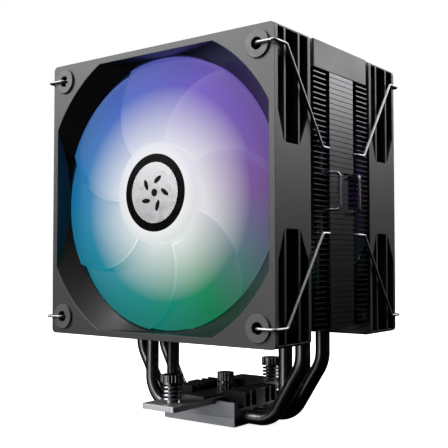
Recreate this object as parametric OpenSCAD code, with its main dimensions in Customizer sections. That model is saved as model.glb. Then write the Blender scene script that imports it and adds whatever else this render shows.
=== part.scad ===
// Tower cooler for a processor: fins on four U-shaped heat pipes, a wire-clipped fan on each side,
// and a finned base that a cross bar and two sprung screws pull down.
// Origin: centre of the contact face. +Z up, -Y towards the intake fan, +X to the right of it.

/* [Fan frame] */
// Width and height of a fan frame
fan_w = 120; // [104:0.5:150]
// Thickness of a fan frame
fan_t = 25; // [24:0.5:32]
// Height of the frames' lower edge above the contact face
fan_z = 37.5; // [35:0.5:60]
// Corner radius of a frame
frame_r = 2; // [1:0.25:4]
// Thickness of the front and back flanges
flange_t = 2; // [1.2:0.1:3]
// Thickness of the two ribs between the flanges
rib_t = 1.2; // [0.8:0.1:2]
// Depth of the first rib's middle behind the front
rib_1 = 6.7; // [5:0.1:8]
// Depth of the second rib's middle behind the front
rib_2 = 16.5; // [14:0.1:18]
// Gap between the airway and each side of the frame
side_gap = 3; // [2.6:0.1:4]
// Wall of the airway
duct_wall = 1.5; // [1:0.1:2]
// Flare of the intake, on the radius
flare = 8.2; // [3:0.1:9]
// Depth of the flare
flare_depth = 8; // [4:0.5:10]
// Half width of the closed middle of each side
flat_half = 16; // [10:0.5:24]
// Thickness of the closed top and bottom of a frame
end_wall = 1.3; // [0.8:0.1:2.4]
// Extra length of the tapered webs beside the flanges
web_len = 11.6; // [6:0.2:16]
// Distance of a corner hole from the frame's two edges
hole_inset = 7.5; // [6.5:0.25:9]
// Diameter of a corner hole
hole_d = 4.6; // [4:0.1:5]
// Number of struts that carry the motor
strut_count = 4; // [3:1:6]

/* [Rubber pads] */
// Outer diameter of a pad
pad_d = 10.8; // [8:0.1:12]
// Thickness of a pad on a fan's outer face
pad_out_t = 1; // [0.6:0.1:1.5]
// Thickness of a pad between a fan and the fins
pad_in_t = 2.35; // [1:0.05:3]

/* [Impeller] */
// Diameter of the hub
hub_d = 42; // [38:0.5:46]
// Wall of the hub
hub_wall = 1.5; // [1:0.1:2]
// Depth of the hub's face behind the frame's front
hub_set = 1.8; // [1.2:0.1:3]
// Gap between the blade tips and the airway
tip_gap = 0.6; // [0.4:0.1:1.5]
// Number of blades
blade_count = 7; // [5:1:9]
// Thickness of a blade
blade_t = 1.6; // [1.2:0.1:2.2]
// Angle that a blade covers, seen from the front
blade_span = 50; // [36:1:50]
// Tilt of a blade
blade_tilt = 15; // [10:1:17]
// Diameter of the label on the hub
label_d = 32; // [20:0.5:36]
// Thickness of the label
label_t = 0.4; // [0.2:0.1:0.6]

/* [Fan motor] */
// Diameter of the shaft
shaft_d = 3; // [2:0.1:4]
// Radial clearance of the shaft in its bearing
shaft_clear = 0.03; // [0.01:0.01:0.1]
// Outer diameter of the bearing sleeve
sleeve_d = 9; // [7:0.1:10]
// Wall of the tube that holds the sleeve
tube_wall = 1.45; // [1:0.05:1.6]
// Wall of the steel rotor cup
cup_wall = 0.8; // [0.5:0.1:1]
// Wall of the magnet ring
magnet_t = 2; // [1.5:0.1:2.5]
// Air gap between magnet and stator
air_gap = 0.5; // [0.3:0.05:0.8]
// Clearance between parts that are pressed or glued together
seat = 0.05; // [0.02:0.01:0.1]
// Number of light diodes on each circuit board
led_count = 6; // [4:1:8]

/* [Fins] */
// Depth of a fin, front to back
fin_depth = 45; // [36:0.5:60]
// Thickness of a fin
fin_t = 0.4; // [0.3:0.05:0.6]
// Distance from one fin to the next
fin_pitch = 2.12; // [1.7:0.02:3]
// Height of the lowest fin above the frames' lower edge
fin_rise = 4.8; // [3:0.1:8]
// Half width of the closed column in the middle of each side
column_half = 9.9; // [6:0.1:10.5]
// Width of a slot for a clip wire
slot_w = 3.1; // [2.6:0.1:4]
// Depth of a slot for a clip wire
slot_depth = 4.8; // [4:0.1:6.5]
// Depth of the recess in the right column
recess_depth = 2.4; // [1:0.1:4]
// Height of that recess
recess_h = 15.2; // [8:0.1:30]
// Depth of the recess's near edge behind the middle
recess_y = 1.65; // [0:0.05:5]

/* [Top cover] */
// Height of the cover
cover_h = 11.5; // [8:0.5:16]
// Wall of the cover
cover_wall = 1.5; // [1:0.1:3]

/* [Heat pipes] */
// Diameter of a heat pipe
pipe_d = 6; // [5:0.1:6.6]
// Clearance of a pipe in its holes, on the radius
pipe_clear = 0.05; // [0.02:0.01:0.15]
// Metal between neighbouring pipes in the base
pipe_web = 1.4; // [1:0.1:3]
// Distance of an upright leg from the base's side
leg_out = 15.2; // [14.5:0.1:18]
// Distance from the base's side at which a splayed leg turns up
foot_out = 13.7; // [12:0.1:16]
// Distance of a splayed leg from the fins' side
splay_edge = 10; // [9.5:0.1:12]
// Distance of the outer splayed legs from the fins' front and back edges
splay_back = 7.3; // [5:0.1:9]
// Distance of the inner splayed legs from the fins' middle
splay_in = 0.8; // [0:0.1:1.5]
// Height at which a splayed leg turns upright
splay_z = 28; // [26:0.5:31]
// Bend radius of the pipes
pipe_bend = 13; // [9:0.5:14]
// Height of the pipe ends above the top fin
pipe_end = 5; // [3:0.5:7]

/* [Base] */
// Width of the base
base_w = 38.6; // [34:0.2:44]
// Depth of the base
base_d = 39; // [36:0.5:47]
// Metal left under the heat pipes
floor_t = 0.6; // [0.4:0.1:2]
// Metal left above the heat pipes, under the bar
roof_t = 2.2; // [2:0.1:3]
// Height of the base's front and back edges above the bar's underside
edge_h = 1.4; // [1:0.1:4]
// Height of the small fins above the bar's underside
comb_h = 5.2; // [3:0.1:7]
// Thickness of a small fin
comb_t = 1.4; // [0.8:0.1:1.8]
// Thickness of the block in the middle of the small fins
comb_mid = 7; // [5:0.2:9]
// Distance from one small fin to the next
comb_pitch = 4.6; // [3.5:0.1:6]
// Depth of the plain ledge in front of and behind the small fins
ledge = 2.3; // [1:0.1:4]

/* [Mounting bar] */
// Width of the bar
bar_w = 17.6; // [12:0.2:18]
// Length of the bar
bar_l = 92; // [84:0.5:110]
// Thickness of the bar
bar_t = 2.2; // [1.6:0.1:3]
// Distance between the two sprung screws
screw_span = 74; // [60:0.5:76]
// Clearance between the bar and its channel
bar_clear = 0.4; // [0.2:0.1:1]
// Width of the saddle on the bar
saddle_w = 12.4; // [10:0.2:16]
// Length of the saddle
saddle_l = 45.2; // [36:0.2:50]
// Height of the saddle's raised back
saddle_h = 4.6; // [2:0.1:6]

/* [Screws] */
// Diameter of a sprung screw's head
head_d = 9.2; // [8.8:0.1:10]
// Height of a sprung screw's head
head_h = 3.7; // [2.5:0.1:5]
// Outer diameter of a sprung screw's threaded sleeve
shank_d = 5; // [4.2:0.1:6]
// Clearance of the sleeve in the bar, on the radius
shank_clear = 0.08; // [0.03:0.01:0.1]
// Diameter of the threaded hole in the sleeve
thread_d = 3; // [2.5:0.1:3.2]
// Length of the sleeve below its retaining ring
sleeve_end = 0.7; // [0.4:0.1:2]
// Free height of a spring
spring_h = 7.8; // [6.5:0.1:9]
// Outer diameter of a spring
spring_d = 8.6; // [7:0.1:8.7]
// Diameter of the spring wire
spring_wire = 1; // [0.7:0.05:1.2]
// Turns of a spring
spring_turns = 4.2; // [3:0.1:5]
// Diameter of the knurled screw in the middle
knob_d = 7.6; // [6:0.1:8.4]
// Height of the knurled screw's head
knob_h = 7.6; // [5:0.1:9]

/* [Fan clips] */
// Diameter of the clip wire
wire_d = 1.2; // [1:0.1:1.6]
// Gap between a clip and what it lies along
wire_gap = 0.3; // [0.2:0.05:0.6]
// Bend radius of the clip wire
wire_bend = 1.6; // [1.2:0.1:2]
// Reach of a clip's tip into its hole
hook_in = 1.8; // [1:0.1:2.5]
// Depth behind the front at which a clip starts to slope
slope_from = 6.2; // [5:0.1:10]
// Half height of the upright middle of a clip
middle_half = 17; // [14:0.5:20]
// Half height of a clip's pull loop
loop_half = 7.5; // [5:0.5:9]
// Distance that the pull loop stands out past the fins
loop_out = 3.5; // [3:0.1:6]
// Distance that the pull loop leans towards the middle of the fins
loop_in = 3.2; // [1:0.1:5]

/* [Hidden] */
$fn = 64;

eps = 0.01;                                     // overlap of a cut past a face
mid_z = fan_z + fan_w / 2;                      // height of the fan axes
fan_in = fin_depth / 2 + pad_in_t;              // inner face of each fan
front_y = -fan_in - fan_t;                      // intake face of the front fan
rear_y = fan_in;                                // intake face of the rear fan
hole_at = fan_w / 2 - hole_inset;               // corner holes, from the fan axis

duct_d = fan_w - 2 * side_gap;
flare_half = fan_w / 2 - side_gap + 0.3;        // half width that limits the flare
tip_r = duct_d / 2 - tip_gap;
lean_all = 14;                                  // lean from a blade's root to its tip
first_blade = -31.3;                            // angle of the first blade as drawn
hub_back = fan_t - 6;                           // depths behind a fan's front face
base_front = hub_back + 2;
base_back = fan_t - 1.5;
cup_face = hub_set + 1.8;
cup_back = hub_back - 3;
stator_front = cup_face + 4;
stator_back = stator_front + 6;
board_z = stator_back + 3.8;
board_t = 1.2;
sleeve_front = stator_front - 0.7;
sleeve_back = base_front - 1.4;
shaft_back = base_front - 0.4;
ring_z = sleeve_back + 0.3;
ring_t = 0.4;
groove_cut = 0.4;                               // depth of a ring groove, on the radius
cup_r = hub_d / 2 - hub_wall - seat;
magnet_r = cup_r - cup_wall - seat;
stator_r = magnet_r - magnet_t - air_gap;
tube_r = sleeve_d / 2 + seat + tube_wall;
arm_w = 4;                                      // width of a stator arm
shoe_t = 1.6;                                   // thickness of the stator's poles
board_r = cup_r - cup_wall - 0.4;

fin_z = fan_z + fin_rise;                       // underside of the lowest fin
cover_z = fan_z + fan_w - cover_h;              // underside of the cover
fin_count = floor((cover_z - fin_z - fin_t) / fin_pitch) + 1;
fin_top = fin_z + (fin_count - 1) * fin_pitch + fin_t;
tab_t = 0.4;
tab_gap = 0.25;                                 // between a folded tab and the next fin

// Each pipe: place in the base, side of its upright leg, place of its splayed leg in the fins
pipe_hole_d = pipe_d + 2 * pipe_clear;
pipe_pitch = pipe_d + pipe_web;
plate_t = pipe_d / 2 + floor_t;                 // the plate reaches up to the middle of the pipes
upright_x = base_w / 2 + leg_out;
foot_x = base_w / 2 + foot_out;
splay_x = fan_w / 2 - splay_edge;
splay_y = fin_depth / 2 - splay_back;
pipes = [[-1.5 * pipe_pitch, -1, -splay_y], [-0.5 * pipe_pitch, 1, -splay_in],
    [0.5 * pipe_pitch, -1, splay_in], [1.5 * pipe_pitch, 1, splay_y]];

bar_z = plate_t + pipe_d / 2 + roof_t;          // underside of the bar
block_z = bar_z + edge_h;
comb_z = bar_z + comb_h;
comb_foot = bar_z - 1.6;                        // floor between the small fins
saddle_t = 0.8;                                 // plate of the saddle
stud_in = 1.8;                                  // depth of the middle screw's hole in the block
channel_half = bar_w / 2 + bar_clear;
bar_top = bar_z + bar_t;
bar_hole_d = shank_d + 2 * shank_clear;
stud_d = 3;                                     // shank of the knurled screw
head_z = bar_top + spring_h;
screw_ring_t = 0.6;
screw_ring_z = bar_z - 0.1 - screw_ring_t;      // under the bar, with a little play
sleeve_z = screw_ring_z - sleeve_end;           // lower end of a sprung screw

face_wire = pad_out_t + wire_gap + wire_d / 2;  // clip wire's middle in front of a fan
side_wire = fan_w / 2 + wire_gap + wire_d / 2 + 0.2;
slot_mid = column_half + slot_w / 2;
slot_wire = fan_w / 2 - slot_depth + wire_d / 2 + 1;
slope_end = 6;                                  // distance before the slot at which a clip stops sloping

// A flat square with round corners
function arc(c, r, from) = [for (i = [0:4]) c + r * [cos(from + i * 22.5), sin(from + i * 22.5)]];
function round_square(w, d, r) = concat(
    arc([w / 2 - r, d / 2 - r], r, 0), arc([r - w / 2, d / 2 - r], r, 90),
    arc([r - w / 2, r - d / 2], r, 180), arc([w / 2 - r, r - d / 2], r, 270));

bend_swell = 0.05;                              // extra diameter of bent stock at its bends

function unit(v) = v / norm(v);
function cut_back(points, i, r) =               // length that a bend takes from each side of its corner
    i == 0 || i == len(points) - 1 ? 0 :
    r / tan(acos(unit(points[i - 1] - points[i]) * unit(points[i + 1] - points[i])) / 2);

module rod(a, b, d) {
    v = b - a;
    translate(a) rotate([0, acos(v.z / norm(v)), atan2(v.y, v.x)]) cylinder(d = d, h = norm(v));
}

module bend(before, corner, after, r, d) {
    u = unit(before - corner);
    v = unit(after - corner);
    half = acos(u * v) / 2;
    centre = corner + unit(u + v) * r / sin(half);
    x = unit(corner + u * r / tan(half) - centre);
    z = cross(x, -u);
    multmatrix([[x.x, -u.x, z.x, centre.x], [x.y, -u.y, z.y, centre.y], [x.z, -u.z, z.z, centre.z]])
        rotate_extrude(angle = 180 - 2 * half) translate([r, 0]) circle(d = d, $fn = 32);
}

// Round stock bent along a line of points; each bend is a hair thicker and laps over the straights
module bent_wire(points, r, d) {
    lap = 0.03 * r;
    last = len(points) - 2;
    for (i = [0:last]) {
        v = unit(points[i + 1] - points[i]);
        rod(points[i] + v * (i == 0 ? 0 : cut_back(points, i, r) - lap),
            points[i + 1] - v * (i == last ? 0 : cut_back(points, i + 1, r) - lap), d);
    }
    for (i = [1:last]) bend(points[i - 1], points[i], points[i + 1], r, d + bend_swell);
}

module ring(outer, inner, h) {
    difference() {
        cylinder(r = outer, h = h);
        translate([0, 0, -1]) cylinder(r = inner, h = h + 2);
    }
}

// Places a fan part: its local +Z runs along the air, from the front face
module on_fan(y) {
    translate([0, y, mid_z]) rotate([-90, 0, 0]) children();
}

module at_corners() {
    for (x = [-1, 1], y = [-1, 1]) translate([x * hole_at, y * hole_at, 0]) children();
}

// ---- base ----

module pipe_channels() {
    for (p = pipes)
        translate([0, p[0], plate_t]) rotate([0, 90, 0])
            cylinder(d = pipe_hole_d, h = 2 * base_w, center = true);
}

module contact_plate() {
    color("#8c8a88") difference() {
        translate([-base_w / 2, -base_d / 2, 0]) cube([base_w, base_d, plate_t]);
        pipe_channels();
    }
}

module base_block() {
    comb_w = base_w / 2 - channel_half;
    ledge_y = base_d / 2 - ledge;
    count = floor((ledge_y - comb_mid / 2) / comb_pitch);
    color("#1c1c1d") difference() {
        union() {
            translate([-base_w / 2, -base_d / 2, plate_t]) cube([base_w, base_d, comb_foot - plate_t]);
            translate([-channel_half, -base_d / 2, plate_t])
                cube([2 * channel_half, base_d, bar_z - plate_t]);
            for (s = [-1, 1]) translate([s * (channel_half + comb_w / 2), 0, 0]) {
                for (e = [-1, 1]) translate([-comb_w / 2, e * (ledge_y + ledge / 2) - ledge / 2, plate_t])
                    cube([comb_w, ledge, block_z - plate_t]);
                translate([-comb_w / 2, -comb_mid / 2, plate_t])
                    cube([comb_w, comb_mid, comb_z - plate_t]);
                for (e = [-1, 1], i = [1:count]) let (y = e * ((comb_mid - comb_t) / 2 + i * comb_pitch))
                    translate([-comb_w / 2, y - comb_t / 2, plate_t])
                        cube([comb_w, comb_t, comb_z - plate_t]);
            }
        }
        pipe_channels();
        translate([0, 0, bar_z - stud_in]) cylinder(d = stud_d + 2 * seat, h = 3);
    }
}

module mounting_bar() {
    color("#b8b8ba") translate([0, 0, bar_z]) linear_extrude(bar_t) difference() {
        polygon(round_square(bar_w, bar_l, 1.2));
        for (s = [-1, 1]) translate([0, s * screw_span / 2]) circle(d = bar_hole_d);
        circle(d = stud_d + 2 * seat);
    }
}

module bar_saddle() {
    back_y = knob_d / 2 + 2.7;                  // front of the raised back
    color("#161617") translate([0, 0, bar_top]) difference() {
        union() {
            linear_extrude(saddle_t) polygon(round_square(saddle_w, saddle_l, 1));
            translate([-saddle_w / 2, back_y, 0]) cube([saddle_w, saddle_l / 2 - 1 - back_y, saddle_h]);
        }
        translate([0, 0, -1]) cylinder(d = stud_d + 2 * seat, h = saddle_t + 2);
    }
}

module centre_screw() {
    foot = bar_top + saddle_t;
    tip = bar_z - stud_in + 0.1;
    waist = 1;
    lower = (knob_h - waist) * 0.45;
    notches = 18;
    color("#2a2a2b") union() {
        translate([0, 0, tip]) cylinder(d = stud_d, h = foot - tip);
        translate([0, 0, foot]) difference() {
            union() {
                cylinder(d = knob_d, h = lower);
                cylinder(d = knob_d - 1.2, h = lower + waist + 0.5);
                translate([0, 0, lower + waist]) cylinder(d = knob_d, h = knob_h - lower - waist);
            }
            for (i = [0:notches - 1]) rotate(i * 360 / notches)
                translate([knob_d / 2 + 0.25, 0, -1]) cylinder(r = 0.45, h = knob_h + 2, $fn = 16);
            translate([0, 0, knob_h - 0.5]) cube([knob_d + 1, 0.9, 1.1], center = true);
        }
    }
}

// ---- fins and pipes ----

// Where a pipe's two legs pass through the fins
function leg_places(p) = [[p[1] * upright_x, p[0]], [-p[1] * splay_x, p[2]]];

module heat_pipe(p) {
    point_h = 2;                                // closed point at each end of a pipe
    top = fin_top + pipe_end - point_h;
    lap = 0.3;
    legs = leg_places(p);
    color("#3a393b") union() {
        bent_wire([[legs[0].x, legs[0].y, top], [legs[0].x, p[0], plate_t], [-p[1] * foot_x, p[0], plate_t],
            [legs[1].x, legs[1].y, splay_z], [legs[1].x, legs[1].y, top]], pipe_bend, pipe_d);
        for (q = legs) translate([q.x, q.y, top - lap])
            cylinder(d1 = pipe_d + bend_swell, d2 = 0.4 * pipe_d, h = point_h + lap);
    }
}

// One side's folded tabs; a fin beside the recess has the far part of its right tab set inwards
module fin_tabs(recessed, h) {
    right = fan_w / 2 - tab_t;
    translate([-fan_w / 2, -column_half, fin_t]) cube([tab_t, 2 * column_half, h]);
    translate([right, -column_half, fin_t])
        cube([tab_t, recessed ? column_half + recess_y : 2 * column_half, h]);
    if (recessed) translate([right - recess_depth, recess_y, fin_t])
        cube([tab_t, column_half - recess_y, h]);
}

module fin(recessed, room) {
    tab_h = min(fin_pitch, room) - fin_t - tab_gap;
    linear_extrude(fin_t) difference() {
        square([fan_w, fin_depth], center = true);
        for (x = [-1, 1], y = [-1, 1])
            translate([x * (fan_w / 2 - slot_depth / 2 + 1), y * slot_mid])
                square([slot_depth + 2, slot_w], center = true);
        for (p = pipes, q = leg_places(p)) translate(q) circle(d = pipe_hole_d, $fn = 32);
        if (recessed) translate([fan_w / 2 - recess_depth, recess_y])
            square([recess_depth + 1, column_half - recess_y + eps]);
    }
    if (tab_h > fin_t) fin_tabs(recessed, tab_h);
}

module cooling_fins() {
    color("#4a4a4c") for (i = [0:fin_count - 1]) {
        z = fin_z + i * fin_pitch;
        recessed = abs(z - mid_z + 0.6) < recess_h / 2;
        translate([0, 0, z]) fin(recessed, cover_z - z);
    }
}

module top_cover() {
    lip = 0.4;                                  // shallow step around the lid
    color("#777779") translate([0, 0, cover_z]) difference() {
        union() {
            linear_extrude(cover_h - lip) polygon(round_square(fan_w, fin_depth, 0.8));
            translate([0, 0, cover_h - lip - eps])
                linear_extrude(lip + eps) polygon(round_square(fan_w - 2, fin_depth - 2, 0.8));
        }
        translate([0, 0, -1]) linear_extrude(cover_h - cover_wall + 1)
            square([fan_w - 2 * cover_wall, fin_depth - 2 * cover_wall], center = true);
    }
}

// ---- fans ----

// Triangular web on one side of the frame, in the gap from z0 to z1; it narrows towards z1
module web(z0, z1) {
    depth = fan_w / 2 - sqrt(pow(duct_d / 2, 2) - pow(flat_half + web_len, 2)) + 1;
    for (a = [0:90:270], m = [0, 1]) rotate(a) mirror([0, m, 0])
        translate([fan_w / 2 - depth, 0, 0]) rotate([90, 0, 90]) linear_extrude(depth)
            polygon([[flat_half - 1, z0], [flat_half + web_len, z0], [flat_half, z1], [flat_half - 1, z1]]);
}

module frame_shell() {
    difference() {
        union() {
            for (z = [[0, flange_t], [rib_1 - rib_t / 2, rib_t], [rib_2 - rib_t / 2, rib_t],
                    [fan_t - flange_t, flange_t]])
                translate([0, 0, z[0]]) linear_extrude(z[1]) polygon(round_square(fan_w, fan_w, frame_r));
            linear_extrude(fan_t) union() {
                circle(d = duct_d + 2 * duct_wall);
                square([fan_w, 2 * flat_half], center = true);
                square([2 * flat_half, fan_w], center = true);
                intersection() {
                    polygon(round_square(fan_w, fan_w, frame_r));
                    for (s = [-1, 1]) translate([0, s * (fan_w - end_wall) / 2])
                        square([fan_w, end_wall], center = true);
                }
            }
            intersection() {                    // wall behind the flare, where it reaches past the airway's
                cylinder(d1 = duct_d + 2 * (flare + duct_wall), d2 = duct_d + duct_wall, h = flare_depth,
                    $fn = 128);
                translate([-fan_w / 2, -fan_w / 2, 0]) cube([fan_w, fan_w, flare_depth]);
            }
            web(flange_t - eps, rib_1 - rib_t / 2 + eps);
            web(fan_t - flange_t + eps, rib_2 + rib_t / 2 - eps);
        }
        translate([0, 0, -1]) cylinder(d = duct_d, h = fan_t + 2, $fn = 128);
        intersection() {
            translate([0, 0, -eps])
                cylinder(d1 = duct_d + 2 * flare, d2 = duct_d - 0.1, h = flare_depth, $fn = 128);
            cube([2 * flare_half, 2 * flare_half, 4 * flare_depth], center = true);
        }
        at_corners() translate([0, 0, -1]) cylinder(d = hole_d, h = fan_t + 2);
    }
}

module fan_frame() {
    strut_w = 3.4;
    strut_t = 4;
    color("#4b4b4c") union() {
        frame_shell();
        difference() {
            union() {
                for (i = [0:strut_count - 1]) rotate(45 + i * 360 / strut_count)
                    translate([hub_d / 2 - 2, -strut_w / 2, base_front])
                        cube([(duct_d - hub_d) / 2 + 2 + duct_wall / 2, strut_w, strut_t]);
                translate([0, 0, base_front]) cylinder(d = hub_d, h = base_back - base_front);
                translate([0, 0, board_z + board_t]) cylinder(r = tube_r + 2, h = base_front - board_z);
                translate([0, 0, stator_back]) cylinder(r = tube_r + 1, h = base_front - stator_back + 1);
                translate([0, 0, sleeve_front]) cylinder(r = tube_r, h = base_front - sleeve_front + 1);
            }
            cylinder(r = sleeve_d / 2 + seat, h = base_front - 0.1);
        }
    }
}

module fan_pads(outer_first) {
    thick_front = outer_first ? pad_out_t : pad_in_t;
    thick_back = outer_first ? pad_in_t : pad_out_t;
    color("#2b2b2c") at_corners() {
        translate([0, 0, -thick_front]) ring(pad_d / 2, hole_d / 2, thick_front);
        translate([0, 0, fan_t]) ring(pad_d / 2, hole_d / 2, thick_back);
    }
}

module bearing_sleeve() {
    color("#b08a4a") translate([0, 0, sleeve_front])
        ring(sleeve_d / 2, shaft_d / 2 + shaft_clear, sleeve_back - sleeve_front);
}

module stator_core() {
    color("#7d7f82") translate([0, 0, stator_front]) {
        h = stator_back - stator_front;
        difference() {
            union() {
                cylinder(r = tube_r + 1.6, h = h);
                for (a = [0, 90]) rotate(a)
                    translate([0, 0, h / 2]) cube([2 * stator_r - shoe_t, arm_w, h], center = true);
                intersection() {
                    ring(stator_r, stator_r - shoe_t, h);
                    for (a = [0, 90]) rotate(a)
                        translate([0, 0, h / 2]) cube([2 * stator_r + 2, 1.35 * stator_r, h + 1], center = true);
                }
            }
            translate([0, 0, -1]) cylinder(r = tube_r + seat, h = h + 2);
        }
    }
}

module stator_coils() {
    wrap = 1.3;                                 // thickness of the winding round an arm
    h = stator_back - stator_front;
    inner = tube_r + 2;
    gap = 0.2;
    outer = sqrt(pow(stator_r - shoe_t - gap, 2) - pow(arm_w / 2 + wrap, 2));
    color("#b8642c") for (a = [0:90:270]) rotate(a)
        translate([(inner + outer) / 2, 0, (stator_front + stator_back) / 2]) difference() {
            cube([outer - inner, arm_w + 2 * wrap, h + 2 * wrap], center = true);
            cube([outer - inner + 1, arm_w + 2 * seat, h + 2 * seat], center = true);
        }
}

module circuit_board() {
    color("#1f5a35") translate([0, 0, board_z]) ring(board_r, tube_r + 1 + seat, board_t);
}

module light_diodes() {
    size = [2.8, 2.2, 0.9];
    color("#f4f4ee") for (i = [0:led_count - 1]) rotate((i + 0.5) * 360 / led_count)
        translate([board_r - size.x / 2 - 0.3, 0, board_z - size.z / 2]) cube(size, center = true);
}

// Angle by which a blade leans forward at a radius
function lean(r) = lean_all * (pow((max(r, hub_d / 2) - hub_d / 2) / (tip_r - hub_d / 2), 1.4) - 0.5);
function on_circle(r, a) = r * [cos(a), sin(a)];

// One blade about its own middle plane: a tilted plate with curved edges
module blade() {
    steps = 6;
    first = hub_d / 2 - hub_wall;
    function radius(i) = first + (tip_r - first) * i / steps;
    intersection() {
        rotate([blade_tilt, 0, 0]) cube([2 * fan_w, 2 * fan_w, blade_t], center = true);
        translate([0, 0, -fan_t]) linear_extrude(2 * fan_t) polygon(concat(
            [for (i = [0:steps]) on_circle(radius(i), lean(radius(i)) - blade_span / 2)],
            [for (s = [-1, 0, 1]) on_circle(1.2 * tip_r, lean(tip_r) + s * blade_span / 2)],
            [for (i = [steps:-1:0]) on_circle(radius(i), lean(radius(i)) + blade_span / 2)]));
        translate([0, 0, -fan_t]) ring(tip_r, hub_d / 2 - hub_wall / 2, 2 * fan_t);
    }
}

module impeller() {
    color("#e4e6ec") union() {
        difference() {
            union() {
                translate([0, 0, hub_set]) cylinder(d1 = hub_d - 1.2, d2 = hub_d, h = 0.6);
                translate([0, 0, hub_set + 0.6]) cylinder(d = hub_d, h = hub_back - hub_set - 0.6);
            }
            translate([0, 0, cup_face - seat]) cylinder(d = hub_d - 2 * hub_wall, h = fan_t);
        }
        for (i = [0:blade_count - 1]) rotate(first_blade + i * 360 / blade_count)
            translate([0, 0, (hub_set + hub_back) / 2]) blade();
    }
}

module hub_label() {
    color("#d8d8d8") translate([0, 0, hub_set - label_t]) cylinder(d = label_d, h = label_t);
}

module rotor_cup() {
    color("#9a9a9c") translate([0, 0, cup_face]) difference() {
        union() {
            ring(cup_r, cup_r - cup_wall, cup_back - cup_face);
            cylinder(r = cup_r - cup_wall / 2, h = cup_wall);
            cylinder(r = shaft_d / 2 + 1.4, h = cup_wall + 1.6);
        }
        translate([0, 0, -1]) cylinder(d = shaft_d, h = 5);
    }
}

module magnet_ring() {
    color("#3c3a39") translate([0, 0, cup_face + cup_wall + 0.6])
        ring(magnet_r, magnet_r - magnet_t, cup_back - cup_face - cup_wall - 1);
}

module shaft() {
    color("#d2d4d6") difference() {
        translate([0, 0, cup_face]) cylinder(d = shaft_d, h = shaft_back - cup_face);
        translate([0, 0, ring_z - 0.05]) ring(shaft_d, shaft_d / 2 - groove_cut, ring_t + 0.1);
    }
}

module retaining_ring(inner, outer, h) {
    difference() {
        ring(outer, inner, h);
        translate([0, -inner * 0.8, -1]) cube([2 * outer, inner * 1.6, h + 2]);
    }
}

module shaft_clip() {
    color("#c0a870") translate([0, 0, ring_z])
        retaining_ring(shaft_d / 2 - groove_cut + seat, shaft_d / 2 + 1.3, ring_t);
}

// ---- clips ----

// A clip on the right of the front fan; the others are its mirror images
module fan_clip(x, y) {
    face = front_y - face_wire;
    upper = [[hole_at, front_y + hook_in, hole_at], [hole_at, face, hole_at],
        [side_wire, face, hole_at], [side_wire, front_y + slope_from, hole_at],
        [side_wire, -slot_mid - slope_end, middle_half], [side_wire, -slot_mid, middle_half],
        [slot_wire, -slot_mid, middle_half], [slot_wire, -slot_mid, loop_half],
        [side_wire, -slot_mid, loop_half], [fan_w / 2 + loop_out, -slot_mid + loop_in, loop_half]];
    lower = [for (i = [len(upper) - 1:-1:0]) [upper[i].x, upper[i].y, -upper[i].z]];
    flip = [for (p = concat(upper, lower)) [p.x * x, p.y * y, p.z + mid_z]];
    color("#9c9c9e") bent_wire(flip, wire_bend, wire_d);
}

// ---- sprung screws ----

module mount_screw(y) {
    notches = 20;
    drive = 1;
    color("#2e2e30") translate([0, y, 0]) difference() {
        union() {
            translate([0, 0, head_z]) cylinder(d = head_d, h = head_h);
            translate([0, 0, sleeve_z]) cylinder(d = shank_d, h = head_z - sleeve_z + 1);
        }
        translate([0, 0, sleeve_z - 1]) cylinder(d = thread_d, h = head_z - sleeve_z + 1);
        for (a = [0, 90]) rotate(a) translate([0, 0, head_z + head_h])
            cube([head_d * 0.62, drive, 3], center = true);
        for (i = [0:notches - 1]) rotate(i * 360 / notches)
            translate([head_d / 2 + 0.3, 0, head_z + 0.8]) cylinder(r = 0.55, h = head_h, $fn = 16);
        translate([0, 0, screw_ring_z - 0.05]) ring(shank_d, shank_d / 2 - groove_cut, screw_ring_t + 0.1);
    }
}

module screw_ring(y) {
    color("#a0a0a2") translate([0, y, screw_ring_z])
        retaining_ring(shank_d / 2 - groove_cut + seat, shank_d / 2 + 1.6, screw_ring_t);
}

module mount_spring(y) {
    sides = 8;
    rings = round(18 * spring_turns);
    coil_r = (spring_d - spring_wire) / 2;
    lift = spring_h - spring_wire - 0.1;
    points = [for (i = [0:rings], j = [0:sides - 1]) let (a = i * 360 * spring_turns / rings,
            r = coil_r + spring_wire / 2 * cos(j * 360 / sides))
        [r * cos(a), r * sin(a), i * lift / rings + spring_wire / 2 * sin(j * 360 / sides)]];
    walls = [for (i = [0:rings - 1], j = [0:sides - 1]) let (k = (j + 1) % sides)
        [i * sides + j, i * sides + k, (i + 1) * sides + k, (i + 1) * sides + j]];
    near = [for (j = [sides - 1:-1:0]) j];
    far = [for (j = [0:sides - 1]) rings * sides + j];
    color("#a8a8aa") translate([0, y, bar_top + spring_wire / 2 + 0.05])
        polyhedron(points, concat([near, far], walls), convexity = 6);
}

contact_plate();
base_block();
mounting_bar();
bar_saddle();
centre_screw();
heat_pipe(pipes[0]);  // heat_pipe_1
heat_pipe(pipes[1]);  // heat_pipe_2
heat_pipe(pipes[2]);  // heat_pipe_3
heat_pipe(pipes[3]);  // heat_pipe_4
cooling_fins();
top_cover();
on_fan(front_y) fan_frame();  // front_fan_frame
on_fan(front_y) fan_pads(true);  // front_fan_pads
on_fan(front_y) bearing_sleeve();  // front_bearing_sleeve
on_fan(front_y) stator_core();  // front_stator_core
on_fan(front_y) stator_coils();  // front_stator_coils
on_fan(front_y) circuit_board();  // front_circuit_board
on_fan(front_y) light_diodes();  // front_light_diodes
on_fan(front_y) impeller();  // front_impeller
on_fan(front_y) hub_label();  // front_hub_label
on_fan(front_y) rotor_cup();  // front_rotor_cup
on_fan(front_y) magnet_ring();  // front_magnet_ring
on_fan(front_y) shaft();  // front_shaft
on_fan(front_y) shaft_clip();  // front_shaft_clip
on_fan(rear_y) fan_frame();  // rear_fan_frame
on_fan(rear_y) fan_pads(false);  // rear_fan_pads
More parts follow.
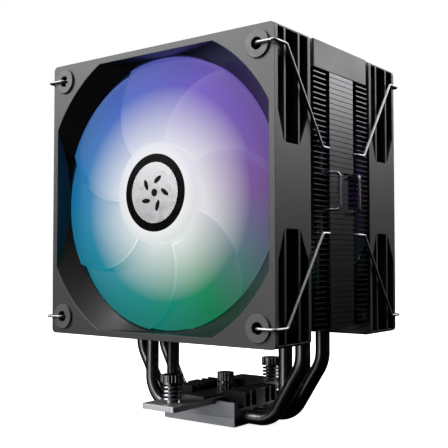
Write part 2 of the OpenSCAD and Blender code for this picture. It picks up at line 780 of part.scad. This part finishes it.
on_fan(rear_y) bearing_sleeve();  // rear_bearing_sleeve
on_fan(rear_y) stator_core();  // rear_stator_core
on_fan(rear_y) stator_coils();  // rear_stator_coils
on_fan(rear_y) circuit_board();  // rear_circuit_board
on_fan(rear_y) light_diodes();  // rear_light_diodes
on_fan(rear_y) impeller();  // rear_impeller
on_fan(rear_y) hub_label();  // rear_hub_label
on_fan(rear_y) rotor_cup();  // rear_rotor_cup
on_fan(rear_y) magnet_ring();  // rear_magnet_ring
on_fan(rear_y) shaft();  // rear_shaft
on_fan(rear_y) shaft_clip();  // rear_shaft_clip
fan_clip(1, 1);  // clip_front_right
fan_clip(-1, 1);  // clip_front_left
fan_clip(1, -1);  // clip_rear_right
fan_clip(-1, -1);  // clip_rear_left
mount_screw(-screw_span / 2);  // front_mount_screw
screw_ring(-screw_span / 2);  // front_screw_ring
mount_spring(-screw_span / 2);  // front_mount_spring
mount_screw(screw_span / 2);  // rear_mount_screw
screw_ring(screw_span / 2);  // rear_screw_ring
mount_spring(screw_span / 2);  // rear_mount_spring
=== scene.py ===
import bpy
import bmesh
from math import cos, pi, radians, sin
from mathutils import Matrix, Vector


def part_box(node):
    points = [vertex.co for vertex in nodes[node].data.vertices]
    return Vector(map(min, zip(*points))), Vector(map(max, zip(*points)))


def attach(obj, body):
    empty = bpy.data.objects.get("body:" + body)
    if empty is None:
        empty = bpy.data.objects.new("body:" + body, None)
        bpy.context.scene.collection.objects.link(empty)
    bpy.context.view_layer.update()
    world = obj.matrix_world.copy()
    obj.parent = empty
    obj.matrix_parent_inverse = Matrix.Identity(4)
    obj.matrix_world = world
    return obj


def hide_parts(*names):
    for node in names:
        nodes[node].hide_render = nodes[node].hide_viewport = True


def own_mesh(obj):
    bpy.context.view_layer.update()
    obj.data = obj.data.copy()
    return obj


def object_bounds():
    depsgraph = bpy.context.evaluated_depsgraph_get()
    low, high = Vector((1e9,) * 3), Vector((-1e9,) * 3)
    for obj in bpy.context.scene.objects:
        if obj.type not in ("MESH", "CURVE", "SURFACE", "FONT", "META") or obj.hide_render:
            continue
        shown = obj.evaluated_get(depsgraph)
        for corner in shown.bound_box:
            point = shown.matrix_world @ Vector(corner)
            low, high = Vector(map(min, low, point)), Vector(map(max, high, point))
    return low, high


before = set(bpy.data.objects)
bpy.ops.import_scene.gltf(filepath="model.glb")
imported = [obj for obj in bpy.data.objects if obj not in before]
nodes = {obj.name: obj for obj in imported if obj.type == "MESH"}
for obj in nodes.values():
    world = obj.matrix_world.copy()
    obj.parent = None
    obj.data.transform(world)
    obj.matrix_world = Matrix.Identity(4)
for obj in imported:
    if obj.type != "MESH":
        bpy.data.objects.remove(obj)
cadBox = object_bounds()
print("frame loaded:", len(nodes), "nodes")

mm = 0.001
fanNames = ("front", "rear")


def toLinear(hexColour):  # sRGB hex to the linear colour that shaders take
    channels = [int(hexColour[i:i + 2], 16) / 255 for i in (1, 3, 5)]
    return [c / 12.92 if c <= 0.04045 else ((c + 0.055) / 1.055) ** 2.4 for c in channels] + [1.0]


def addNode(tree, kind, settings=None, links=None):  # settings are sockets or properties
    node = tree.nodes.new(kind)
    for key, value in (settings or {}).items():
        if isinstance(key, int) or key in node.inputs:
            node.inputs[key].default_value = value
        else:
            setattr(node, key, value)
    for key, source in (links or {}).items():
        tree.links.new(source, node.inputs[key])
    return node


def newMaterial(name, colour, settings):
    material = bpy.data.materials.new(name)
    material.use_nodes = True
    tree = material.node_tree
    shader = tree.nodes["Principled BSDF"]
    shader.inputs["Base Color"].default_value = toLinear(colour)
    for key, value in settings.items():
        shader.inputs[key].default_value = value
    return material, tree, shader


def setRamp(node, stops):  # stops: (place, hex colour)
    ramp = node.color_ramp
    while len(ramp.elements) < len(stops):
        ramp.elements.new(0.5)
    for element, (place, colour) in zip(ramp.elements, stops):
        element.position = place
        element.color = toLinear(colour)
    return node


def between(pair, share):  # from the first value to the second
    return pair[0] + (pair[1] - pair[0]) * share


def dress(node, material):  # a CAD node takes its finish
    slots = nodes[node].data.materials
    slots.clear()
    slots.append(material)


def newPiece(name, bm, materials, body, replaced, smoothAngle):
    mesh = bpy.data.meshes.new(name)
    bm.to_mesh(mesh)
    bm.free()
    piece = bpy.data.objects.new(name, mesh)
    bpy.context.scene.collection.objects.link(piece)
    for material in materials:
        mesh.materials.append(material)
    mesh.shade_smooth()
    mesh.set_sharp_from_angle(angle=radians(smoothAngle))
    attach(piece, body)
    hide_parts(replaced)
    return piece


# Where the fans are, read from the CAD frames and the label
fans = {}
for name in fanNames:
    low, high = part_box(name + "_fan_frame")
    fans[name] = {"front": low.y, "back": high.y, "middle": (low + high) / 2}
labelLow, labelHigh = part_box("front_hub_label")
labelRadius = (labelHigh.x - labelLow.x) / 2
labelThickness = labelHigh.y - labelLow.y
hubSet = labelLow.y + labelThickness - fans["front"]["front"]  # the hub's face behind the frame's front
axisHeight = fans["front"]["middle"].z


def toFan(bm, name):  # from a fan's own axes, +Z along the air from its front face, to the cooler's
    place = Matrix.Translation((0, fans[name]["front"], axisHeight)) @ Matrix.Rotation(-pi / 2, 4, "X")
    bmesh.ops.transform(bm, matrix=place, verts=bm.verts)


# Camera, lights and floor of a small white studio
scene = bpy.context.scene
scene.view_settings.view_transform = "Standard"
scene.view_settings.look = "None"

cameraSettings = {"place": (0.2179, -0.28904, 0.0701), "heading": 37.126, "pitch": 2.572, "lens": 63.78,
                  "sensor": 36}
cameraData = bpy.data.cameras.new("camera")
cameraData.lens = cameraSettings["lens"]
cameraData.sensor_width = cameraSettings["sensor"]
camera = bpy.data.objects.new("camera", cameraData)
camera.location = cameraSettings["place"]
camera.rotation_euler = (radians(90 + cameraSettings["pitch"]), 0, radians(cameraSettings["heading"]))
scene.collection.objects.link(camera)
scene.camera = camera

# Dark glossy pieces show these panels as their highlights, so each one's place matters more than its power
lightSettings = {
    "leftSoftbox": {"at": (-0.62, -0.82, 0.67), "target": (0, -0.03, 0.12), "size": (0.9, 0.8),
                    "watts": 16.5},
    "rightSoftbox": {"at": (0.62, 0.80, 0.70), "target": (0.05, 0, 0.12), "size": (0.9, 0.8), "watts": 10.5},
    "lowCard": {"at": (-0.60, -0.80, -0.22), "target": (0, 0, 0), "size": (0.6, 0.2), "watts": 0.4},
    "frontStrip": {"at": (-0.20, -1.03, 0.02), "target": (0, 0, 0.03), "size": (0.45, 0.6), "watts": 2.2},
    "topSoftbox": {"at": (0.0, -0.10, 0.75), "target": (0, 0, 0.12), "size": (0.5, 0.5), "watts": 3.0},
}
for name, panel in lightSettings.items():
    data = bpy.data.lights.new(name, "AREA")
    data.shape = "RECTANGLE"
    data.size, data.size_y = panel["size"]
    data.energy = panel["watts"]
    light = bpy.data.objects.new(name, data)
    light.location = panel["at"]
    aim = Vector(panel["target"]) - Vector(panel["at"])
    light.rotation_euler = aim.to_track_quat("-Z", "Y").to_euler()
    scene.collection.objects.link(light)

# The camera sees a white backdrop; everything else sees a dim room that is darker below
skyStops = [(0.0, "#080808"), (0.49, "#0e0e0e"), (0.56, "#343434"), (0.8, "#5a5a5a"), (1.0, "#808080")]
world = bpy.data.worlds.new("studio")
scene.world = world
world.use_nodes = True
tree = world.node_tree
background = tree.nodes["Background"]
direction = addNode(tree, "ShaderNodeTexCoord")
split = addNode(tree, "ShaderNodeSeparateXYZ", links={0: direction.outputs["Generated"]})
height = addNode(tree, "ShaderNodeMapRange", {"From Min": -1.0, "From Max": 1.0},
                 {"Value": split.outputs["Z"]})
skyRamp = setRamp(addNode(tree, "ShaderNodeValToRGB", links={0: height.outputs[0]}), skyStops)
seen = addNode(tree, "ShaderNodeLightPath")
pick = addNode(tree, "ShaderNodeMix", {"data_type": "RGBA", 7: (1.0, 1.0, 1.0, 1.0)},
               {0: seen.outputs["Is Camera Ray"], 6: skyRamp.outputs[0]})
tree.links.new(pick.outputs[2], background.inputs["Color"])
background.inputs["Strength"].default_value = 1.0

floorSettings = {"half": 6.0, "below": 0.5, "lift": 0.92}  # just clear of the contact face
floorBm = bmesh.new()
bmesh.ops.create_grid(floorBm, x_segments=2, y_segments=2, size=floorSettings["half"],
                      matrix=Matrix.Translation((0, 0, cadBox[0][2] - floorSettings["below"] * mm)))
floorMesh = bpy.data.meshes.new("floor")
floorBm.to_mesh(floorMesh)
floorBm.free()
floor = bpy.data.objects.new("floor", floorMesh)
scene.collection.objects.link(floor)
floorPaint, tree, shader = newMaterial("palePaper", "#ffffff", {"Roughness": 0.9})
shader.inputs["Emission Color"].default_value = (1, 1, 1, 1)
shader.inputs["Emission Strength"].default_value = floorSettings["lift"]
floorMesh.materials.append(floorPaint)
floor.visible_glossy = False
floor.visible_diffuse = False
floor.visible_transmission = False
floor.visible_shadow = False
print("camera, lights and floor set")


def objectPlace(tree, shift=(0, 0, 0)):  # Object coordinates, centred where a pattern needs it
    place = addNode(tree, "ShaderNodeTexCoord")
    mapping = addNode(tree, "ShaderNodeMapping", {"Location": [-c for c in shift]},
                      {0: place.outputs["Object"]})
    return mapping.outputs[0]


grainHeight = 0.02  # mm, how deep a fine grain goes at full strength


def addGrain(tree, shader, grainMm, depth, edgeMm=0.0):  # fine bump of a real grain size, on softened edges
    noise = addNode(tree, "ShaderNodeTexNoise", {"Scale": 1 / (grainMm * mm), "Detail": 2.0},
                    {"Vector": objectPlace(tree)})
    bump = addNode(tree, "ShaderNodeBump", {"Strength": depth, "Distance": grainHeight * mm},
                   {"Height": noise.outputs[0]})
    if edgeMm:
        edge = addNode(tree, "ShaderNodeBevel", {"Radius": edgeMm * mm})
        tree.links.new(edge.outputs[0], bump.inputs["Normal"])
    tree.links.new(bump.outputs[0], shader.inputs["Normal"])


def addWear(tree, shader, low, high, sizeMm):  # roughness that wanders between two values
    noise = addNode(tree, "ShaderNodeTexNoise", {"Scale": 1 / (sizeMm * mm), "Detail": 3.0},
                    {"Vector": objectPlace(tree)})
    limits = {"From Min": 0.3, "From Max": 0.7, "To Min": low, "To Max": high}
    spread = addNode(tree, "ShaderNodeMapRange", limits, {"Value": noise.outputs[0]})
    tree.links.new(spread.outputs[0], shader.inputs["Roughness"])


# wear: lowest and highest roughness, size in mm; grain: size in mm, strength, edge radius in mm
def addFinish(name, colour, settings, wear, grain=None):
    material, tree, shader = newMaterial(name, colour, settings)
    addWear(tree, shader, *wear)
    if grain:
        addGrain(tree, shader, *grain)
    return material


# PBT frame from a spark-eroded tool: an even satin grain on the outside, with soft moulded edges;
# the airway, flare and inner faces come off a polished core and stay glossy and deep black
airway = {"half": 58.7, "skin": 0.15, "satin": 0.46, "gloss": 0.24, "outside": "#1f1f20",
          "inside": "#111112", "grain": 0.35, "edge": 0.35}


def frameMaterial(name):
    material, tree, shader = newMaterial("mouldedPbt_" + name, airway["outside"], {"IOR": 1.6})
    addGrain(tree, shader, airway["grain"], 0.3, airway["edge"])
    middle = fans[name]["middle"]
    place = addNode(tree, "ShaderNodeVectorMath", {"operation": "ABSOLUTE"},
                    {0: objectPlace(tree, (0, middle.y, middle.z))})
    split = addNode(tree, "ShaderNodeSeparateXYZ", links={0: place.outputs[0]})
    limits = {"X": airway["half"] * mm, "Z": airway["half"] * mm,
              "Y": (fans[name]["back"] - fans[name]["front"]) / 2 - airway["skin"] * mm}
    within = [addNode(tree, "ShaderNodeMath", {"operation": "LESS_THAN", 1: limit}, {0: split.outputs[axis]})
              for axis, limit in limits.items()]
    both = addNode(tree, "ShaderNodeMath", {"operation": "MULTIPLY"},
                   {0: within[0].outputs[0], 1: within[1].outputs[0]})
    inside = addNode(tree, "ShaderNodeMath", {"operation": "MULTIPLY"},
                     {0: both.outputs[0], 1: within[2].outputs[0]})
    rough = addNode(tree, "ShaderNodeMapRange", {"To Min": airway["satin"], "To Max": airway["gloss"]},
                    {"Value": inside.outputs[0]})
    tree.links.new(rough.outputs[0], shader.inputs["Roughness"])
    colour = addNode(tree, "ShaderNodeMix", {"data_type": "RGBA", 6: toLinear(airway["outside"]),
                                             7: toLinear(airway["inside"])}, {0: inside.outputs[0]})
    tree.links.new(colour.outputs[2], shader.inputs["Base Color"])
    return material


# ABS lid, moulded like the frames but paler
coverPlastic = addFinish("mouldedAbs", "#5a5a5b", {"IOR": 1.6}, (0.42, 0.5, 15), (0.3, 0.3, 0.4))

# Silicone rubber rings, matt and a touch dusty
padRubber = addFinish("siliconeRubber", "#444446", {"IOR": 1.6}, (0.42, 0.52, 3), (0.25, 0.25))

# Copper tube under black nickel: smoother than the fins, with long highlights
pipeNickel = addFinish("blackNickelTube", "#68676a", {"Metallic": 1.0}, (0.24, 0.31, 8))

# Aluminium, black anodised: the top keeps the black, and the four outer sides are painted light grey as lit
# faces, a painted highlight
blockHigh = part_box("base_block")[1]
paintedLitSides = {"depth": 0.05, "paintedSideLight": "#8c8e92", "black": "#2a2a2b"}
blockAluminiumPaintedSides, tree, shader = newMaterial("anodisedAluminium_paintedSideLight", paintedLitSides["black"], {"Metallic": 1.0})
addGrain(tree, shader, 0.2, 0.2, 0.25)
addWear(tree, shader, 0.42, 0.52, 6)
place = addNode(tree, "ShaderNodeVectorMath", {"operation": "ABSOLUTE"}, {0: objectPlace(tree)})
split = addNode(tree, "ShaderNodeSeparateXYZ", links={0: place.outputs[0]})
# mask of the four outer sides, where light grey is painted over the black as lit faces
outer = [addNode(tree, "ShaderNodeMath", {"operation": "GREATER_THAN", 1: edge - paintedLitSides["depth"] * mm},
                 {0: split.outputs[axis]}) for axis, edge in (("X", blockHigh.x), ("Y", blockHigh.y))]
onPaintedSide = addNode(tree, "ShaderNodeMath", {"operation": "MAXIMUM"},
                 {0: outer[0].outputs[0], 1: outer[1].outputs[0]})
# the black anodised colour, with painted light on the four outer sides
paintedSideLight = addNode(tree, "ShaderNodeMix", {"data_type": "RGBA", 6: toLinear(paintedLitSides["black"]),
                                       7: toLinear(paintedLitSides["paintedSideLight"])}, {0: onPaintedSide.outputs[0]})
tree.links.new(paintedSideLight.outputs[2], shader.inputs["Base Color"])

# Stamped steel saddle under black electrocoat
saddleBlack = addFinish("electrocoatedSteel", "#141415", {"IOR": 1.5}, (0.4, 0.55, 4), (0.3, 0.2, 0.3))

# Steel strip, stamped and nickel plated
barSteel = addFinish("nickelSteelStrip", "#cfcfd1", {"Metallic": 1.0}, (0.38, 0.48, 4), (0.4, 0.1, 0.25))

# Spring wire for the clips, drawn: grey core between dark edges
clipWire = addFinish("drawnSteelWire", "#a2a2a5", {"Metallic": 1.0}, (0.34, 0.44, 2))

# Screws and knob under black nickel, streaked by their knurls
screwBlack = addFinish("blackNickelScrew", "#7a7a7d", {"Metallic": 1.0}, (0.16, 0.26, 1.5))

# Music wire for the two springs, bright nickel
springBright = addFinish("nickelMusicWire", "#a0a0a4", {"Metallic": 1.0}, (0.14, 0.24, 1))

# Retaining rings: spring steel as it was stamped
ringSteel = addFinish("stampedSpringSteel", "#9a9a9c", {"Metallic": 1.0}, (0.3, 0.42, 1.5))

# Ground shaft
shaftSteel = addFinish("groundSteel", "#d0d2d4", {"Metallic": 1.0}, (0.1, 0.18, 1))

# Deep-drawn rotor cup, zinc plated
cupSteel = addFinish("drawnZincSteel", "#a8a8aa", {"Metallic": 1.0}, (0.3, 0.42, 3))

# Sintered bronze sleeve, oily
bearingBronze = addFinish("sinteredBronze", "#b08a4a", {"Metallic": 1.0}, (0.35, 0.5, 0.8), (0.15, 0.3))

# Bonded ferrite ring
magnetFerrite = addFinish("bondedFerrite", "#3b3a39", {"IOR": 1.6}, (0.55, 0.7, 1.5), (0.2, 0.3))

# Aluminium sheet under black nickel plating: a dark mirror with faint rolling lines, long across the tower
rolling = {"width": 1.2, "squeeze": 0.03}
finNickel, tree, shader = newMaterial("blackNickelSheet", "#565658", {"Metallic": 1.0})
along = addNode(tree, "ShaderNodeMapping", {"Scale": (rolling["squeeze"], 1, 1)}, {0: objectPlace(tree)})
streaks = addNode(tree, "ShaderNodeTexNoise", {"Scale": 1 / (rolling["width"] * mm), "Detail": 2.0},
                  {"Vector": along.outputs[0]})
spread = addNode(tree, "ShaderNodeMapRange", {"To Min": 0.26, "To Max": 0.34}, {"Value": streaks.outputs[0]})
tree.links.new(spread.outputs[0], shader.inputs["Roughness"])

# Distances in mm between the lines that a tool, a sheet stack or a winding leaves, drawn about twice as
# coarse as real ones so that they show
linePitch = {"mill": 0.5, "sheet": 1.0, "wire": 0.6}


def waveScale(kind):  # at a scale of 1, a wave texture's bands repeat every 2 pi / 20
    return 2 * pi / 20 / (linePitch[kind] * mm)


# Nickel-plated copper, milled: fine tool lines across the contact face
contactNickel, tree, shader = newMaterial("milledNickel", "#909296", {"Metallic": 1.0})
lines = addNode(tree, "ShaderNodeTexWave", {"Scale": waveScale("mill"), "Distortion": 0.4},
                {"Vector": objectPlace(tree)})
bump = addNode(tree, "ShaderNodeBump", {"Strength": 0.2, "Distance": 0.01 * mm},
               {"Height": lines.outputs[1]})
tree.links.new(bump.outputs[0], shader.inputs["Normal"])
addWear(tree, shader, 0.3, 0.42, 5)

# Stator: silicon-steel sheets in a stack, seen as fine lines along the axis
coreSteel, tree, shader = newMaterial("stackedSiliconSteel", "#8a8c8f", {"Metallic": 1.0})
sheets = addNode(tree, "ShaderNodeTexWave", {"Scale": waveScale("sheet"), "bands_direction": "Y"},
                 {"Vector": objectPlace(tree)})
bump = addNode(tree, "ShaderNodeBump", {"Strength": 0.5, "Distance": 0.05 * mm},
               {"Height": sheets.outputs[1]})
tree.links.new(bump.outputs[0], shader.inputs["Normal"])
addWear(tree, shader, 0.35, 0.5, 2)

# Coils: turns of enamelled copper wire, side by side
coilCopper, tree, shader = newMaterial("enamelledCopper", "#b8642c", {"Metallic": 1.0, "Coat Weight": 0.5})
turns = addNode(tree, "ShaderNodeTexWave", {"Scale": waveScale("wire"), "wave_profile": "SIN"},
                {"Vector": objectPlace(tree)})
bump = addNode(tree, "ShaderNodeBump", {"Strength": 0.6, "Distance": 0.08 * mm},
               {"Height": turns.outputs[1]})
tree.links.new(bump.outputs[0], shader.inputs["Normal"])
addWear(tree, shader, 0.25, 0.35, 1)

# Circuit board: green solder mask over glass cloth
boardGreen = addFinish("solderMask", "#1f5a35", {"IOR": 1.5, "Coat Weight": 0.3}, (0.3, 0.42, 2),
                       (0.5, 0.15))

# Light diodes: clear epoxy over a white well, lit
diodeEpoxy = addFinish("litEpoxy", "#f4f4ee",
                       {"Emission Color": toLinear("#f2f6ff"), "Emission Strength": 2.0}, (0.15, 0.25, 0.5))

# Hub label: black printed film with a brushed silver foil in it and a plain dark mark of vanes
filmBlack = addFinish("printedFilm", "#030304", {"IOR": 1.15}, (0.2, 0.28, 4))
foilSilver = addFinish("brushedFoil", "#a6a6a8", {"Metallic": 0.85}, (0.3, 0.4, 3), (0.3, 0.1))
inkDark = addFinish("screenInk", "#040405", {"IOR": 1.15}, (0.35, 0.45, 2))

# Milky polycarbonate lit from the hub: the diodes' colours run round the axis and die away outwards
glow = {
    "hues": ["#7860c4", "#785898", "#188858", "#208c90", "#1880b4", "#4868c4"],  # one for each diode
    "firstDiode": 30,  # degrees from the top, clockwise as seen from the front
    "whiteUntil": 13, "fullFrom": 45,  # mm from the axis: the hues mix to white near the hub
    "dimFrom": 46, "dimUntil": 58, "dimTo": 0.7,  # and the sheet dims towards the tips
    "strength": {"front": 0.92, "rear": 0.05},  # no glow from the rear fan reaches the gaps between the fins
    "edge": 1.2,  # a lit sheet is brightest along its cut edges
}


def glowMaterial(name, share, making):
    strength = glow["strength"][name] * share
    material, tree, shader = newMaterial(making + "_" + name, "#0a0a0c",
                                         {"IOR": 1.15, "Roughness": 0.3, "Emission Strength": strength})
    place = objectPlace(tree, (0, 0, axisHeight))
    split = addNode(tree, "ShaderNodeSeparateXYZ", links={0: place})
    turn = addNode(tree, "ShaderNodeMath", {"operation": "ARCTAN2"},
                   {0: split.outputs["X"], 1: split.outputs["Z"]})
    part = addNode(tree, "ShaderNodeMath",
                   {"operation": "MULTIPLY_ADD", 1: 1 / (2 * pi), 2: -glow["firstDiode"] / 360},
                   {0: turn.outputs[0]})
    clock = addNode(tree, "ShaderNodeMath", {"operation": "FRACT"}, {0: part.outputs[0]})
    flat = addNode(tree, "ShaderNodeCombineXYZ", links={"X": split.outputs["X"], "Y": split.outputs["Z"]})
    radius = addNode(tree, "ShaderNodeVectorMath", {"operation": "LENGTH"}, {0: flat.outputs[0]})
    stops = [(i / len(glow["hues"]), hue) for i, hue in enumerate(glow["hues"] + glow["hues"][:1])]
    hue = setRamp(addNode(tree, "ShaderNodeValToRGB", links={0: clock.outputs[0]}), stops)
    wash = addNode(tree, "ShaderNodeMapRange",
                   {"From Min": glow["whiteUntil"] * mm, "From Max": glow["fullFrom"] * mm},
                   {"Value": radius.outputs["Value"]})
    mixed = addNode(tree, "ShaderNodeMix", {"data_type": "RGBA", 6: (1, 1, 1, 1)},
                    {0: wash.outputs[0], 7: hue.outputs[0]})
    dim = addNode(tree, "ShaderNodeMapRange",
                  {"From Min": glow["dimFrom"] * mm, "From Max": glow["dimUntil"] * mm, "To Min": 1.0,
                   "To Max": glow["dimTo"]}, {"Value": radius.outputs["Value"]})
    lit = addNode(tree, "ShaderNodeVectorMath", {"operation": "SCALE"},
                  {0: mixed.outputs[2], "Scale": dim.outputs[0]})
    tree.links.new(lit.outputs[0], shader.inputs["Emission Color"])
    return material


print("finishes made")


def spunRing(bm, profile, steps=48, centre=(0, 0, 0)):  # profile: (radius, depth)
    around = Vector(centre)
    verts = [bm.verts.new(around + Vector((r, 0, z))) for r, z in profile]
    edges = [bm.edges.new((verts[i], verts[i - 1])) for i in range(len(verts))]
    bmesh.ops.spin(bm, geom=verts + edges, cent=around, axis=(0, 0, 1), angle=2 * pi, steps=steps,
                   use_merge=True, use_duplicate=False)


def softenEdges(bm, width, angle):
    sharp = [e for e in bm.edges if len(e.link_faces) == 2 and e.calc_face_angle(0) > radians(angle)]
    bmesh.ops.bevel(bm, geom=sharp, offset=width, offset_type="OFFSET", segments=2, profile=0.5,
                    affect="EDGES", material=-1, clamp_overlap=True)


# Pairs run from the blade's root to its tip, or from front to back; angles in degrees, the rest in mm
impellerSettings = {
    "blades": 7, "firstAngle": -29.0, "hubRadius": 21.0, "wall": 1.5, "hubDepth": (1.8, 19.0), "edge": 0.8,
    "core": 10.5, "root": 0.3, "tipRadius": 56.65, "span": (74.0, 88.0), "lean": 32.0, "sweepPower": 1.6,
    "height": (11.0, 6.5), "camber": 1.2, "crown": 0.6, "middle": 10.4, "thickness": 1.3, "radialSteps": 16,
    "spanSteps": 14, "rim": 0.2,
}


def buildImpeller(name, materials):
    s = impellerSettings
    bm = bmesh.new()
    front, back = s["hubDepth"]
    hub, edge, core = s["hubRadius"], s["edge"], s["core"]
    inner = hub - s["wall"]
    corner = [(hub - edge + edge * sin(a), front + edge - edge * cos(a))
              for a in (0, pi / 6, pi / 3, pi / 2)]
    outline = [(core, front)] + corner + [(hub, back), (inner, back), (inner, front + s["wall"]),
                                          (core, front + s["wall"])]
    spunRing(bm, [(r * mm, z * mm) for r, z in outline], steps=96)
    plug = (core + 0.1) * mm  # closes the hub's face, just into the ring
    bmesh.ops.create_cone(bm, segments=64, radius1=plug, radius2=plug, depth=s["wall"] * mm, cap_ends=True,
                          matrix=Matrix.Translation((0, 0, (front + s["wall"] / 2) * mm)))
    first = inner + s["root"]
    for i in range(s["blades"]):
        sheet = bmesh.ops.create_grid(bm, x_segments=s["radialSteps"], y_segments=s["spanSteps"], size=0.5)
        turn = radians(s["firstAngle"] + i * 360 / s["blades"])
        for v in sheet["verts"]:  # the sheet's two directions become radius and angle
            out, across = v.co.x + 0.5, v.co.y
            r = first + (s["tipRadius"] - first) * out
            free = max(r - hub, 0) / (s["tipRadius"] - hub)
            sweep = s["lean"] * (free ** s["sweepPower"] - 0.5)
            a = turn + radians(sweep + between(s["span"], out) * across)
            tall = between(s["height"], out)
            z = s["middle"] + tall * across - s["camber"] * (s["crown"] - 4 * across * across)
            v.co = Vector((r * cos(a), r * sin(a), z)) * mm
        faces = list({f for v in sheet["verts"] for f in v.link_faces})
        bmesh.ops.solidify(bm, geom=faces, thickness=s["thickness"] * mm)
    bmesh.ops.recalc_face_normals(bm, faces=bm.faces)
    thick = s["thickness"] * mm
    for face in bm.faces:  # the narrow faces round each blade are its cut edges
        sharp = [e for e in face.edges if e.calc_face_angle(0) > radians(60)]
        width = sum(e.calc_length() for e in face.edges if e not in sharp) / 2
        if len(sharp) >= 2 and abs(width - thick) < 0.15 * thick:
            face.material_index = 1
    softenEdges(bm, s["rim"] * mm, 70)
    toFan(bm, name)
    newPiece(name + "_lit_impeller", bm, materials, name + "_rotor", name + "_impeller",
             40)


labelSettings = {
    "foilRadius": 12.5, "foilDepth": 0.3, "step": 0.06, "vanes": 5, "markRadius": 5.6, "vaneRadius": 2.3,
    "vaneWidth": 0.42, "vaneTurn": 35, "eye": 1.6, "inkDepth": 0.1,
}


def addDisc(bm, radius, front, back, paint, segments, shape=Matrix.Identity(4)):  # sizes in mm
    place = Matrix.Translation((0, 0, (front + back) / 2 * mm)) @ shape
    disc = bmesh.ops.create_cone(bm, segments=segments, radius1=radius * mm, radius2=radius * mm,
                                 depth=(back - front) * mm, cap_ends=True, matrix=place)
    for face in {f for v in disc["verts"] for f in v.link_faces}:
        face.material_index = paint


def buildLabel(name):
    s = labelSettings
    bm = bmesh.new()
    top = (hubSet - labelThickness) / mm
    addDisc(bm, labelRadius / mm, top + 2 * s["step"], hubSet / mm, 0, 96)
    addDisc(bm, s["foilRadius"], top + s["step"], top + s["foilDepth"], 1, 96)
    ink = (s["vaneRadius"], top, top + s["inkDepth"], 2, 32)
    eye = s["eye"] / s["vaneRadius"]
    addDisc(bm, *ink, Matrix.Diagonal((eye, eye, 1, 1)))
    for i in range(s["vanes"]):  # a vane is a flattened disc, set askew round the eye
        askew = Matrix.Rotation(radians(s["vaneTurn"]), 4, "Z") @ Matrix.Diagonal((1, s["vaneWidth"], 1, 1))
        out = Matrix.Translation((s["markRadius"] * mm, 0, 0))
        addDisc(bm, *ink, Matrix.Rotation(2 * pi * i / s["vanes"], 4, "Z") @ out @ askew)
    toFan(bm, name)
    newPiece(name + "_printed_label", bm, [filmBlack, foilSilver, inkDark], name + "_rotor",
             name + "_hub_label", 30)


padSettings = {"at": 52.5, "outer": 5.4, "inner": 2.3, "edge": 0.2}


def buildPads(name):
    s = padSettings
    low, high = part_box(name + "_fan_pads")
    front = (low.y - fans[name]["front"]) / mm  # behind the frame's front, as the fan's own depths are
    back = (high.y - fans[name]["front"]) / mm
    depth = (fans[name]["back"] - fans[name]["front"]) / mm
    bm = bmesh.new()
    e = s["edge"]
    for z0, z1 in ((front, 0.0), (depth, back)):
        profile = [(s["inner"], z0 + e), (s["inner"] + e, z0), (s["outer"] - e, z0), (s["outer"], z0 + e),
                   (s["outer"], z1 - e), (s["outer"] - e, z1), (s["inner"] + e, z1), (s["inner"], z1 - e)]
        for x in (-1, 1):
            for y in (-1, 1):
                spunRing(bm, [(r * mm, z * mm) for r, z in profile],
                         centre=(x * s["at"] * mm, y * s["at"] * mm, 0))
    bmesh.ops.remove_doubles(bm, verts=bm.verts, dist=1e-6)
    bmesh.ops.recalc_face_normals(bm, faces=bm.faces)
    toFan(bm, name)
    newPiece(name + "_rubber_pads", bm, [padRubber], "root", name + "_fan_pads", 30)


springSettings = {"wire": 1.0, "outer": 8.6, "turns": 4.2, "sides": 12, "stepsPerTurn": 40, "pressed": 0.68}


def buildSpring(name):
    s = springSettings
    low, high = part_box(name + "_mount_spring")
    middle = (low + high) / 2
    wire = s["wire"] / 2 * mm
    coil = s["outer"] / 2 * mm - wire
    rise = high.z - low.z - 2 * wire
    bm = bmesh.new()
    upright = Matrix.Translation((coil, 0, 0)) @ Matrix.Rotation(pi / 2, 4, "X")
    made = bmesh.ops.create_circle(bm, segments=s["sides"], radius=wire, cap_ends=False, matrix=upright)
    rim = made["verts"] + list({e for v in made["verts"] for e in v.link_edges})
    steps = round(s["turns"] * s["stepsPerTurn"])
    bmesh.ops.spin(bm, geom=rim, cent=(0, 0, 0), axis=(0, 0, 1), angle=2 * pi * s["turns"], steps=steps,
                   dvec=(0, 0, rise / steps), use_merge=False, use_duplicate=False)
    bmesh.ops.holes_fill(bm, edges=[e for e in bm.edges if e.is_boundary], sides=0)
    bmesh.ops.recalc_face_normals(bm, faces=bm.faces)
    bmesh.ops.translate(bm, vec=(middle.x, middle.y, low.z + wire), verts=bm.verts)
    piece = newPiece(name + "_coil_spring", bm, [springBright], "root", name + "_mount_spring",
                     60)
    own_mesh(piece)


for name in fanNames:
    faceGlow = glowMaterial(name, 1.0, "litPolycarbonate")
    edgeGlow = glowMaterial(name, glow["edge"], "litCutEdge")
    buildImpeller(name, [faceGlow, edgeGlow])
    buildLabel(name)
    buildPads(name)
    buildSpring(name)
print("new pieces built")

# The CAD nodes that stay take their finishes
finishOf = {
    "contact_plate": contactNickel, "base_block": blockAluminiumPaintedSides, "mounting_bar": barSteel,
    "bar_saddle": saddleBlack, "centre_screw": screwBlack, "cooling_fins": finNickel,
    "top_cover": coverPlastic,
}
for i in range(1, 5):
    finishOf[f"heat_pipe_{i}"] = pipeNickel
perFan = {
    "mount_screw": screwBlack, "screw_ring": ringSteel, "shaft_clip": ringSteel,
    "bearing_sleeve": bearingBronze, "stator_core": coreSteel, "stator_coils": coilCopper,
    "circuit_board": boardGreen, "light_diodes": diodeEpoxy, "rotor_cup": cupSteel,
    "magnet_ring": magnetFerrite, "shaft": shaftSteel,
}
for name in fanNames:
    finishOf[name + "_fan_frame"] = frameMaterial(name)
    for part, finish in perFan.items():
        finishOf[name + "_" + part] = finish
    for side in ("right", "left"):
        finishOf["clip_" + name + "_" + side] = clipWire
for node, finish in finishOf.items():
    dress(node, finish)
print("CAD nodes dressed")
